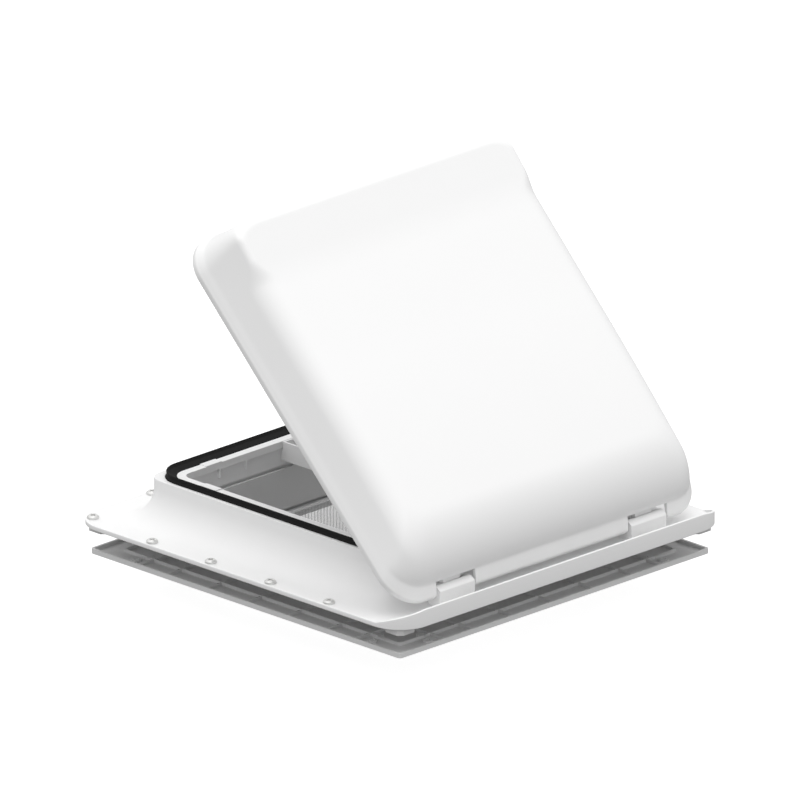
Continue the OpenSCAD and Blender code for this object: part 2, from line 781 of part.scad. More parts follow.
module lift_arm() {
    color("silver") on_arm() difference() {
        union() {
            translate([-arm_t / 2, 0, -arm_h / 2]) cube([arm_t, arm_len, arm_h]);
            x_rod(arm_hub_r, -arm_t / 2, arm_t / 2, 64);
            translate([0, arm_len, 0]) x_rod(arm_tip_r, -arm_t / 2, arm_t / 2, 64);
        }
        x_rod(shaft_r + 0.01, -arm_t, arm_t, 64);
        translate([0, arm_len, 0]) x_rod(roller_pin_r + run_gap, -arm_t, arm_t, 64);
    }
}

module arm_roller_pin() {
    color("silver") on_arm() translate([0, arm_len, 0]) x_rod(roller_pin_r, -roller_x1 - 0.6, roller_x1 + 0.6);
}

module arm_rollers() {
    color("dimgray") on_arm() translate([0, arm_len, 0]) for (x = [-roller_x1, roller_x0]) difference() {
        x_rod(roller_r, x, x + roller_x1 - roller_x0);
        x_rod(roller_pin_r + 0.01, x - past, x + roller_x1);
    }
}

// Helical ridge of the worm, as a swept four-cornered section
module worm_thread(root, tip, pitch, turns, steps) {
    total = turns * steps;
    section = [[root - 0.4, 1.0], [tip, 0.42], [tip, -0.42], [root - 0.4, -1.0]];
    polyhedron(
        points = [for (i = [0 : total]) for (p = section)
            [p[0] * cos(360 * i / steps), p[0] * sin(360 * i / steps), p[1] + pitch * i / steps]],
        faces = concat([[0, 1, 2, 3]],
            [for (i = [0 : total - 1]) for (j = [0 : 3]) let (a = 4 * i + j, b = 4 * i + (j + 1) % 4)
                each [[a, a + 4, b + 4], [a, b + 4, b]]],
            [[4 * total + 3, 4 * total + 2, 4 * total + 1, 4 * total]]));
}

module worm_shaft() {
    root = worm_pitch_r - tooth_in;
    half_len = worm_turns * tooth_pitch / 2;
    color("silver") translate([worm_x, worm_y, 0]) {
        translate([0, 0, crank_shaft_z]) cylinder(r = crank_shaft_r, h = cover_z + 4 - crank_shaft_z, $fn = 64);
        translate([0, 0, cover_z + 4]) cylinder(r = root, h = bar_z0 - box_top_t - 1 - cover_z - 4, $fn = 64);
        translate([0, 0, bar_z0 - box_top_t - 1]) cylinder(r = worm_journal_r, h = box_top_t + 1, $fn = 64);
        translate([0, 0, arm_z - half_len]) rotate([0, 0, -90])
            worm_thread(root, worm_pitch_r + tooth_out, tooth_pitch, worm_turns, 20);
    }
}

module crank_arm() {
    color("white") translate([worm_x, worm_y, 0]) difference() {
        union() {
            translate([0, 0, crank_z0]) cylinder(r = hub_r, h = crank_z1 - crank_z0, $fn = 64);
            translate([-5, 0, crank_z0]) cube([10, crank_len, 5]);
            translate([0, crank_len, crank_z0]) cylinder(r = 8, h = 5, $fn = 64);
        }
        translate([0, 0, crank_shaft_z]) cylinder(r = crank_shaft_r + 0.01, h = 20, $fn = 64);
        translate([0, 0, crank_z0 - past]) cylinder(r = 1.8, h = 5, $fn = 32);
        translate([0, crank_len, crank_z0 - past]) cylinder(r = 2.5, h = 10, $fn = 48);
    }
}

module crank_screw() {
    color("silver") translate([worm_x, worm_y, crank_z0]) rotate([180, 0, 0]) pan_screw(1.7, 1, 3.6, 2);
}

module knob_pin() {
    color("silver") translate([worm_x, worm_y + crank_len, 0]) {
        translate([0, 0, knob_bottom + 1.6]) cylinder(r = 2.49, h = crank_z0 + 6.4 - knob_bottom - 1.6, $fn = 48);
        translate([0, 0, knob_bottom + 1.6]) cylinder(r = 4, h = 1.4, $fn = 48);
    }
}

module crank_knob() {
    color("white") translate([worm_x, worm_y + crank_len, 0]) difference() {
        union() {
            translate([0, 0, knob_bottom + 3]) cylinder(r1 = knob_r - 1.5, r2 = knob_r, h = 8, $fn = 64);
            translate([0, 0, knob_bottom + 11]) cylinder(r1 = knob_r, r2 = knob_r - 4, h = knob_top - knob_bottom - 11, $fn = 64);
            translate([0, 0, knob_bottom]) cylinder(r1 = knob_r - 4, r2 = knob_r - 1.5, h = 3, $fn = 64);
        }
        translate([0, 0, knob_bottom - past]) cylinder(r = 2.5 + run_gap, h = knob_top - knob_bottom + 2 * past, $fn = 64);
        translate([0, 0, knob_bottom - past]) cylinder(r = 4.5, h = 4.3, $fn = 64);
    }
}

outer_frame();
corner_spacers();
flange_screws();
curb_seal();
inner_collar();
crossbar();
crossbar_screws();
hinge_block_left();
hinge_block_right();
hinge_pin_left();
hinge_pin_right();
hinge_block_screws();
trim_frame();
screen_frame();
screen_mesh();
screen_clips();
screen_grommet();
gearbox_housing();
gearbox_cover();
gearbox_screws();
worm_bushes();
arm_bushes();
lid_shell();
lid_hinge_left();
lid_hinge_right();
lid_rail();
lid_rail_screws();
arm_shaft();
worm_wheel();
lift_arm();
arm_roller_pin();
arm_rollers();
worm_shaft();
crank_arm();
crank_screw();
knob_pin();
crank_knob();
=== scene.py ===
"""Looks of the deck hatch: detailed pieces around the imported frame, materials, light and camera."""

import math

import bmesh
import bpy
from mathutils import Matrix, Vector


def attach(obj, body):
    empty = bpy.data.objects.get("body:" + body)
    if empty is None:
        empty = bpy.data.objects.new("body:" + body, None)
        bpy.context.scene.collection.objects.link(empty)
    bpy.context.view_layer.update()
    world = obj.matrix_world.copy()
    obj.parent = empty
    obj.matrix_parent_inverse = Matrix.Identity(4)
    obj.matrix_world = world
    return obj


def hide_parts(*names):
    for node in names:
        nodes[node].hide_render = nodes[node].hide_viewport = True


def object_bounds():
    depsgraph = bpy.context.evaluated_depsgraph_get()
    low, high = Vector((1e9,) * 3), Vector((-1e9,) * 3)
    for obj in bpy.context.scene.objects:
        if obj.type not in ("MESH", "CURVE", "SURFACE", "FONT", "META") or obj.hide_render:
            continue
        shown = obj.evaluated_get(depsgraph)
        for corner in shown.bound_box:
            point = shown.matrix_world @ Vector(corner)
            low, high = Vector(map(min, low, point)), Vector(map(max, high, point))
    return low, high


MM = 0.001

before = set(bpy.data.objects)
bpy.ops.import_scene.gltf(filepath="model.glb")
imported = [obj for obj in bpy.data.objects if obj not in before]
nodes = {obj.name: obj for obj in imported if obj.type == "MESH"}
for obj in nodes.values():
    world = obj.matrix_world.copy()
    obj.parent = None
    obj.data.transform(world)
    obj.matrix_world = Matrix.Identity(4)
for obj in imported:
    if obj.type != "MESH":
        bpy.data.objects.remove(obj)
cad_low, cad_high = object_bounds()

# ---------- sizes, in millimetres, in the row frame ----------

HINGE_Y, HINGE_Z, HINGE_X = -178.5, 17.2, 116.3
OPEN = math.radians(45)
FLANGE, FLANGE_R, FLANGE_T, LIP_H = 200.0, 30.5, 4.4, 15.9
CURB, CURB_TOP, COVE, CURB_CORNER = 154.0, 42.7, 29.2, 138.0
NECK_CORNER = 123.2
LIP_T, LIP_RIM, LIP_ROOT = 2.2, 0.6, 1.6
CURB_WALL, CURB_IN, SEAT_Z, SEAT_UNDER = 3.2, 150.6, 39.0, 35.5
NECK_IN, NECK_OUT, NECK_BOTTOM, NECK_TOP = 136.0, 139.2, -14.0, 41.0
HOLLOW_END = 172.12
HOLLOW_SPAN = 70  # degrees
CORNER_STEPS, SIDE_STEPS = 20, 12


# ---------- materials ----------

def material(name, color, rough=0.4, metal=0.0, speck=0.02, bump=0.0, scale=900.0, coat=0.0, sheen=0.0,
             worn=0.0, spec=0.5, aniso=0.0):
    """A Principled material with fine procedural variation of colour, roughness and surface."""
    mat = bpy.data.materials.new(name)
    mat.use_nodes = True
    tree = mat.node_tree
    bsdf = tree.nodes["Principled BSDF"]
    new, link = tree.nodes.new, tree.links.new
    bsdf.inputs["Metallic"].default_value = metal
    bsdf.inputs["Specular IOR Level"].default_value = spec
    bsdf.inputs["Coat Weight"].default_value = coat
    bsdf.inputs["Coat Roughness"].default_value = 0.12
    bsdf.inputs["Sheen Weight"].default_value = sheen
    bsdf.inputs["Anisotropic"].default_value = aniso
    coords = new("ShaderNodeTexCoord")

    broad = new("ShaderNodeTexNoise")
    broad.inputs["Scale"].default_value = 14.0
    broad.inputs["Detail"].default_value = 3.0
    link(coords.outputs["Object"], broad.inputs["Vector"])
    fine = new("ShaderNodeTexNoise")
    fine.inputs["Scale"].default_value = scale
    fine.inputs["Detail"].default_value = 2.0
    link(coords.outputs["Object"], fine.inputs["Vector"])

    mix = new("ShaderNodeMix")
    mix.data_type = "RGBA"
    low = [max(0.0, c * (1 - speck)) for c in color]
    high = [min(1.0, c * (1 + speck)) for c in color]
    mix.inputs[6].default_value = (*low, 1)
    mix.inputs[7].default_value = (*high, 1)
    link(broad.outputs["Fac"], mix.inputs[0])
    shade = mix.outputs[2]
    if worn:
        geometry = new("ShaderNodeNewGeometry")
        edge = new("ShaderNodeMapRange")
        edge.inputs["From Min"].default_value = 0.52
        edge.inputs["From Max"].default_value = 0.60
        edge.inputs["To Max"].default_value = worn
        link(geometry.outputs["Pointiness"], edge.inputs["Value"])
        rub = new("ShaderNodeMix")
        rub.data_type = "RGBA"
        link(edge.outputs["Result"], rub.inputs[0])
        link(shade, rub.inputs[6])
        rub.inputs[7].default_value = (*[min(1.0, c * 1.25 + 0.04) for c in color], 1)
        shade = rub.outputs[2]
    link(shade, bsdf.inputs["Base Color"])

    ramp = new("ShaderNodeMapRange")
    ramp.inputs["To Min"].default_value = max(0.03, rough - 0.06)
    ramp.inputs["To Max"].default_value = min(1.0, rough + 0.06)
    link(fine.outputs["Fac"], ramp.inputs["Value"])
    link(ramp.outputs["Result"], bsdf.inputs["Roughness"])
    if bump:
        node = new("ShaderNodeBump")
        node.inputs["Strength"].default_value = bump
        node.inputs["Distance"].default_value = 0.0002
        link(fine.outputs["Fac"], node.inputs["Height"])
        link(node.outputs["Normal"], bsdf.inputs["Normal"])
    return mat


SHELL = material("shell_plastic", (0.86, 0.86, 0.86), rough=0.38, bump=0.05, scale=1500, speck=0.006)
TRIM = material("trim_plastic", (0.80, 0.80, 0.80), rough=0.55, bump=0.12, scale=1800, speck=0.01)
COLLAR = material("collar_plastic", (0.85, 0.85, 0.85), rough=0.5, bump=0.08, scale=1800, speck=0.01)
# the trim plastic made darker to paint in the shade that falls under the flange, in the roof gap and on the
# corner spacers
TRIM_PAINTED_SHADE = material("trim_plastic_painted_shade", (0.72, 0.72, 0.72), rough=0.6, bump=0.12, scale=1800, speck=0.012)
RUBBER = material("seal_rubber", (0.012, 0.012, 0.012), rough=0.75, bump=0.3, scale=2200, speck=0.15,
                  spec=0.15)
STEEL = material("stainless", (0.70, 0.70, 0.69), rough=0.24, metal=1.0, speck=0.03, worn=0.5, bump=0.05)
SCREW = material("screw_finish", (0.70, 0.70, 0.69), rough=0.5, metal=0.7, speck=0.02, worn=0.3, bump=0.05)
PLATED = material("plated_steel", (0.60, 0.61, 0.62), rough=0.36, metal=1.0, speck=0.07, bump=0.12,
                  scale=500, worn=0.6)
ZINC = material("zinc_casting", (0.50, 0.51, 0.52), rough=0.5, metal=0.9, speck=0.06, bump=0.35, scale=1100,
                worn=0.5)
BRONZE = material("bronze", (0.72, 0.52, 0.26), rough=0.3, metal=1.0, speck=0.06, bump=0.1, worn=0.4)
ACETAL = material("acetal", (0.80, 0.78, 0.70), rough=0.4, speck=0.02, bump=0.08)
FIBRE = material("screen_fibre", (0.50, 0.50, 0.50), rough=0.7, speck=0.05, bump=0.3, scale=2500)


# ---------- mesh helpers ----------

def finish_mesh(obj, sharp=34.0):
    """Welds, drops empty faces, turns normals outwards and shades smooth between sharp edges."""
    mesh = obj.data
    work = bmesh.new()
    work.from_mesh(mesh)
    bmesh.ops.remove_doubles(work, verts=work.verts, dist=1e-6)
    bmesh.ops.dissolve_degenerate(work, edges=work.edges, dist=1e-6)
    bmesh.ops.recalc_face_normals(work, faces=work.faces)
    work.to_mesh(mesh)
    work.free()
    for face in mesh.polygons:
        face.use_smooth = True
    mesh.set_sharp_from_angle(angle=math.radians(sharp))


def piece(name, points, faces, mat, body, *replaced, slot=None, sharp=34.0):
    """A mesh piece from points in millimetres, riding on a body and standing for CAD nodes."""
    mesh = bpy.data.meshes.new(name)
    mesh.from_pydata([tuple(c * MM for c in p) for p in points], [], faces)
    obj = bpy.data.objects.new(name, mesh)
    bpy.context.scene.collection.objects.link(obj)
    finish_mesh(obj, sharp)
    mesh.materials.append(mat)
    if replaced:
        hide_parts(*replaced)
    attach(obj, body)
    return obj


def softened(node, mat, body, width=0.4, segments=2, angle=32.0, sharp=40.0):
    """A copy of a CAD node with its faces joined up and its edges rounded."""
    source = nodes[node]
    mesh = source.data.copy()
    mesh.name = node + "_visual"
    mesh.materials.clear()
    obj = bpy.data.objects.new(node + "_visual", mesh)
    bpy.context.scene.collection.objects.link(obj)
    work = bmesh.new()
    work.from_mesh(mesh)
    work.transform(source.matrix_world)
    bmesh.ops.remove_doubles(work, verts=work.verts, dist=2e-6)
    bmesh.ops.dissolve_limit(work, angle_limit=math.radians(0.6), verts=work.verts, edges=work.edges)
    bmesh.ops.recalc_face_normals(work, faces=work.faces)
    work.to_mesh(mesh)
    work.free()
    for face in mesh.polygons:
        face.use_smooth = True
    mesh.set_sharp_from_angle(angle=math.radians(sharp))
    mesh.materials.append(mat)
    bevel = obj.modifiers.new("round", "BEVEL")
    bevel.width = width * MM
    bevel.segments = segments
    bevel.limit_method = "ANGLE"
    bevel.angle_limit = math.radians(angle)
    bevel.use_clamp_overlap = True
    bevel.harden_normals = True
    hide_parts(node)
    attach(obj, body)
    return obj


def outline(x0, y0, x1, y1, r, arc=CORNER_STEPS, side=SIDE_STEPS):
    """Points round a rounded rectangle, with the same count for any size."""
    points = []
    corners = ((x1 - r, y1 - r, 0), (x0 + r, y1 - r, 90), (x0 + r, y0 + r, 180), (x1 - r, y0 + r, 270))
    for k, (cx, cy, start) in enumerate(corners):
        for i in range(arc + 1):
            a = math.radians(start + 90 * i / arc)
            points.append((cx + r * math.cos(a), cy + r * math.sin(a)))
        nx, ny, start = corners[(k + 1) % 4]
        a = math.radians(start)
        goal = (nx + r * math.cos(a), ny + r * math.sin(a))
        last = points[-1]
        for i in range(1, side):
            t = i / side
            points.append((last[0] + (goal[0] - last[0]) * t, last[1] + (goal[1] - last[1]) * t))
    return points


def square(half, r, **steps):
    return outline(-half, -half, half, half, r, **steps)


def skin(rings, closed=False):
    """Faces between rings of equal count, and the joined list of points."""
    count = len(rings[0])
    points = [p for ring in rings for p in ring]
    faces = []
    for k in range(len(rings) - (0 if closed else 1)):
        a, b = k * count, ((k + 1) % len(rings)) * count
        for i in range(count):
            j = (i + 1) % count
            faces.append((a + i, a + j, b + j, b + i))
    return points, faces


def fillet(points, steps=5):
    """Rounds a closed polyline: each point is (x, z, radius)."""
    out = []
    n = len(points)
    for i, (x, z, r) in enumerate(points):
        p = Vector((x, z))
        if r <= 0:
            out.append((x, z))
            continue
        u = (Vector(points[i - 1][:2]) - p)
        v = (Vector(points[(i + 1) % n][:2]) - p)
        half = u.angle(v) / 2
        reach = min(r / math.tan(half), 0.49 * u.length, 0.49 * v.length)
        r = reach * math.tan(half)
        u.normalize()
        v.normalize()
        a, b = p + u * reach, p + v * reach
        centre = p + (u + v).normalized() * (r / math.sin(half))
        va, vb = a - centre, b - centre
        turn = va.angle(vb)
        for k in range(steps + 1):
            t = k / steps
            w = (va * math.sin((1 - t) * turn) + vb * math.sin(t * turn)) / math.sin(turn)
            out.append(tuple(centre + w))
    return out


def ring_piece(name, section, corner, mat, body, *replaced, slot, sharp=34.0, steps=5, arc=CORNER_STEPS):
    """Sweeps a closed (half width, height, fillet) section round a square with round corners."""
    rings = [[(x, y, z) for x, y in square(h, max(0.05, h - corner), arc=arc)]
             for h, z in fillet(section, steps)]
    points, faces = skin(rings, closed=True)
    return piece(name, points, faces, mat, body, *replaced, slot=slot, sharp=sharp)


def opened(p):
    """Turns a point of the closed lid to where it stands open."""
    x, y, z = p
    c, s = math.cos(OPEN), math.sin(OPEN)
    y, z = y - HINGE_Y, z - HINGE_Z
    return (x, HINGE_Y + c * y - s * z, HINGE_Z + s * y + c * z)


def smooth(t):
    t = min(1.0, max(0.0, t))
    return t * t * (3 - 2 * t)


# ---------- outer frame ----------

def lip_share(x, y):
    """1 along the hinge side, falling to 0 round the two corners."""
    if y > -(FLANGE - FLANGE_R):
        return 0.0
    if abs(x) < FLANGE - FLANGE_R:
        return 1.0
    a = math.atan2(-(FLANGE - FLANGE_R) - y, abs(x) - (FLANGE - FLANGE_R))
    return 0.5 * (math.sin(a) + 2 * a / math.pi)


def frame_rings():
    """The frame's section as rings. Each entry is (half, corner radius, height, height with a full lip)."""
    def at(h, z):
        return (h, h - CURB_CORNER, z, z)

    def at_neck(h, z):
        return (h, max(0.5, h - NECK_CORNER), z, z)

    rows = []
    # up the neck's outside, out under the seat and down the hollow under the cove
    neck = fillet([(NECK_IN, NECK_BOTTOM, 0.5), (NECK_OUT, NECK_BOTTOM, 0.8), (NECK_OUT, SEAT_UNDER, 0.8),
                   (150, SEAT_UNDER, 0)], 4)
    rows += [at_neck(h, z) for h, z in neck]
    hollow = COVE + CURB_WALL
    rows.append(at(CURB - CURB_WALL, SEAT_UNDER - 0.5))
    for i in range(13):
        a = math.radians(90 - HOLLOW_SPAN * i / 12)
        rows.append(at(CURB + COVE - hollow * math.sin(a), FLANGE_T + COVE - hollow * math.cos(a)))
    rows.append(at(HOLLOW_END, 0))
    # out along the flange's underside and over its edge, which rises to the lip on the hinge side
    rows.append((FLANGE - 0.6, FLANGE_R - 0.6, 0, 0))
    rows.append((FLANGE, FLANGE_R, 0.6, 0.6))
    r0, r1 = 0.9, 0.8
    for i in range(6):
        a = math.radians(90 * i / 5)
        rows.append((FLANGE - r1 + r1 * math.cos(a), FLANGE_R - r1 + r1 * math.cos(a),
                     FLANGE_T - r0 + r0 * math.sin(a), LIP_H - r1 + r1 * math.sin(a)))
    inner = FLANGE - LIP_T
    for i in range(6):
        a = math.radians(90 * i / 5)
        h = inner + LIP_RIM - LIP_RIM * math.sin(a)
        rows.append((h, FLANGE_R - FLANGE + h, FLANGE_T, LIP_H - LIP_RIM + LIP_RIM * math.cos(a)))
    for i in range(6):
        a = math.radians(90 * i / 5)
        h = inner - LIP_ROOT + LIP_ROOT * math.cos(a)
        rows.append((h, FLANGE_R - FLANGE + h, FLANGE_T, FLANGE_T + LIP_ROOT - LIP_ROOT * math.sin(a)))
    # up the cove to the curb's top, down to the seal's seat and in over the neck's top
    for i in range(29):
        a = math.radians(90 * i / 28)
        rows.append(at(CURB + COVE - COVE * math.sin(a), FLANGE_T + COVE - COVE * math.cos(a)))
    edge = fillet([(CURB, 34, 0), (CURB, CURB_TOP, 1.5), (152, CURB_TOP, 0), (152, 34, 0)], 5)[1:-1]
    rows += [at(h, z) for h, z in edge]
    top = fillet([(151.9, 34, 0), (151.9, CURB_TOP, 0), (CURB_IN, CURB_TOP, 0.6), (CURB_IN, SEAT_Z, 0.3),
                  (NECK_OUT, SEAT_Z, 0), (NECK_OUT, NECK_TOP, 0.3), (NECK_IN, NECK_TOP, 0.5),
                  (NECK_IN, 0, 0)], 5)[1:-1]
    rows += [at_neck(h, z) for h, z in top]
    rings = []
    for h, r, z, z_lip in rows:
        rings.append([(x, y, z + (z_lip - z) * lip_share(x, y)) for x, y in square(h, r, arc=28, side=16)])
    return rings


points, faces = skin(frame_rings(), closed=True)
piece("frame_moulding", points, faces, SHELL, "frame", "outer_frame", slot="shell_plastic", sharp=38)

ring_piece("weather_seal", [(140.6, SEAT_Z, 0.3), (150.3, SEAT_Z, 0.3), (150.3, 42.9, 0.5),
                            (149.5, 44.6, 0.5), (149.8, 48.0, 0.4), (148.9, 48.3, 0.4),
                            (146.8, 45.9, 1.5), (140.6, 43.4, 0.6)],
           NECK_CORNER, RUBBER, "frame", "curb_seal", slot="seal_rubber", arc=28)
softened("inner_collar", COLLAR, "frame", 0.4, 3)

for node in ("hinge_block_left", "hinge_block_right"):
    softened(node, SHELL, "frame", 0.7, 3)
# the corner spacers get the darkened trim plastic, painted shade for the flange's shadow over them
softened("corner_spacers", TRIM_PAINTED_SHADE, "frame", 0.6, 3)
for node, width in (("crossbar", 0.35), ("screen_frame", 0.5),
                    ("screen_clips", 0.2), ("screen_grommet", 0.3)):
    softened(node, TRIM, "frame", width, 3)
# the trim frame in the roof gap gets the darkened trim plastic, painted shade for the dark under the flange
softened("trim_frame", TRIM_PAINTED_SHADE, "frame", 0.35, 2)
softened("flange_screws", SCREW, "frame", 0.35, 2)
for node, width in (("crossbar_screws", 0.2), ("hinge_block_screws", 0.2),
                    ("gearbox_screws", 0.2), ("hinge_pin_left", 0.35), ("hinge_pin_right", 0.35)):
    softened(node, STEEL, "frame", width, 2)
for node in ("gearbox_housing", "gearbox_cover"):
    softened(node, ZINC, "frame", 0.7, 3)
for node in ("worm_bushes", "arm_bushes"):
    softened(node, ACETAL, "frame", 0.2, 2)


# ---------- flyscreen ----------

def flyscreen():
    """Woven mesh: round threads that pass over and under each other, cut out round the crank shaft."""
    reach, pitch, z0 = 127.5, 1.9, -23.2
    thick, wave = 0.24, 0.15
    tall = thick * 0.8
    hole_x, hole_y, hole_r = 4.9, -60.0, 10.6
    count = int(reach / pitch)
    lines = [i * pitch for i in range(-count, count + 1)]
    points, faces = [], []

    def run(fixed, along, phase, swap):
        base = None
        for k, t in enumerate(along):
            lift = wave * (1 if (k + phase) % 2 == 0 else -1)
            ring = []
            for a, b in ((-thick, 0), (0, -tall), (thick, 0), (0, tall)):
                across, up = fixed + a, z0 + lift + b
                point = (across, t, up) if swap else (t, across, up)
                ring.append(len(points))
                points.append(point)
            if base:
                for i in range(4):
                    j = (i + 1) % 4
                    faces.append((base[i], base[j], ring[j], ring[i]))
            else:
                faces.append(tuple(reversed(ring)))
            base = ring
        faces.append(tuple(base))

    for swap in (False, True):
        for n, fixed in enumerate(lines):
            centre_across, centre_along = (hole_x, hole_y) if swap else (hole_y, hole_x)
            gap = hole_r ** 2 - (fixed - centre_across) ** 2
            stops = [-reach] + lines + [reach]
            phase = n + (1 if swap else 0)
            if gap > 0:
                half = math.sqrt(gap)
                first = [t for t in stops if t < centre_along - half]
                second = [t for t in stops if t > centre_along + half]
                run(fixed, first, phase, swap)
                run(fixed, second, phase + len(stops) - len(second), swap)
            else:
                run(fixed, stops, phase, swap)
    return points, faces


points, faces = flyscreen()
piece("flyscreen_weave", points, faces, FIBRE, "frame", "screen_mesh", slot="screen_fibre", sharp=60)


# ---------- lid ----------

LID_HALF, LID_FRONT, LID_BACK, LID_R = 185.6, -183.2, 189.7, 33.0
SKIRT_Z0, SKIRT_Z1, FOOT_Z = 16.1, 21.8, 29.9
BEVEL, BEVEL_FRONT = 4.5, 10.2
SIDE_RISE, SIDE_ANGLE, SHOULDER_R, BROW_R = 35.4, math.radians(67), 25.0, 7.0
BACK_RISE, BACK_ANGLE, BACK_R = 38.0, math.radians(78), 7.0
FRONT_RUN = 54.0
WALL = 2.6
BROW_FROM = 104.0
CROWN_Z, CROWN_Y, CROWN_DROP, CROWN_LIFT = 65.2, 20, 7.2, 0.5
RAMP_Y, RAMP_END, RAMP_LIFT, BROW_SLOPE, SIDE_DROP = 110, 140, 1.25, 0.076, 0.6
BROW_Y, BROW_RUN = 118, 24
BLEND_LOW, BLEND_HIGH = 20, 16
# how much the corner radius falls over the bevel, and over the dome
R_BEVEL, R_DOME = 5, 14
RIB_IN, RIB_OUT, RIB_Z, RIB_TOP, RIB_SUNK = 148.5, 150.9, 48.6, 61.5, 1.7


def crown(x, y):
    """Height of the lid's top: a soft crown, then a ramp up to a raised brow at the free end."""
    z = CROWN_Z - CROWN_DROP * (max(0.0, CROWN_Y - y) / 190) ** 2
    z += CROWN_LIFT * smooth((y - CROWN_Y) / 90)
    z += RAMP_LIFT * (max(0.0, min(y, RAMP_END) - RAMP_Y) / 30) ** 2 + BROW_SLOPE * max(0.0, y - RAMP_END)
    return z - SIDE_DROP * (x / 160) ** 2


def wall_in(f, rise, angle, r):
    """How far in a wall of the dome is at a fraction f of its rise: it leans, then rounds over."""
    z = f * rise
    arc_z = rise - r * (1 - math.cos(angle))
    if z <= arc_z:
        return z / math.tan(angle)
    return arc_z / math.tan(angle) + r * math.sin(angle) - math.sqrt(max(0.0, r ** 2 - (r - rise + z) ** 2))


def side_in(f, r=SHOULDER_R):
    return wall_in(f, SIDE_RISE, SIDE_ANGLE, r)


def back_in(f):
    return wall_in(f, BACK_RISE, BACK_ANGLE, BACK_R)


def front_in(f):
    return FRONT_RUN * (1 - math.sqrt(max(0.0, 1 - f ** 1.5)))


def brow_out(y, f):
    """How much further out the side is where the brow's tighter shoulder replaces the soft one."""
    t = smooth((y - BROW_Y) / BROW_RUN)
    return side_in(f) - side_in(f, SHOULDER_R + (BROW_R - SHOULDER_R) * t)


def lid_outline(x1, y0, y1, r, arc, side):
    """A rounded outline whose long sides have close points near the brow."""
    points = outline(-x1, y0, x1, y1, r, arc, side)
    low, high = y0 + r, y1 - r
    few = side * 5 // 9
    ys = [low + (BROW_FROM - low) * i / few for i in range(few)]
    ys += [BROW_FROM + (high - BROW_FROM) * i / (side - few) for i in range(side - few + 1)]
    n = arc + side
    for i in range(1, side):
        points[n + arc + i] = (-x1, ys[side - i])
        points[3 * n + arc + i] = (x1, ys[i])
    return points


def lid_level(side_d, front_d, back_d, r, z, f, wall, arc, side):
    x1 = LID_HALF - side_d - wall
    pts = lid_outline(x1, LID_FRONT + front_d + wall, LID_BACK - back_d - wall, max(2.0, r - wall), arc, side)
    if f < 0:
        return [(x, y, z) for x, y in pts]
    out = []
    for x, y in pts:
        share = max(0.0, 1 - (x1 - abs(x)) / r)
        x += math.copysign(share * brow_out(y, f), x)
        out.append((x, y, FOOT_Z + f * (crown(x, y) - FOOT_Z) - wall))
    return out


def lid_height(x, y):
    """Height of the closed lid's outside over a point, by halving."""
    low, high = 0.0, 1.0
    for _ in range(24):
        f = (low + high) / 2
        r = LID_R - R_BEVEL - R_DOME * f
        over_x = abs(x) - (LID_HALF - BEVEL - side_in(f) - r)
        over_y = max(LID_FRONT + BEVEL_FRONT + front_in(f) + r - y, y - (LID_BACK - BEVEL - back_in(f) - r))
        if math.hypot(max(0.0, over_x), max(0.0, over_y)) <= r:
            low = f
        else:
            high = f
    return FOOT_Z + low * (crown(x, y) - FOOT_Z)


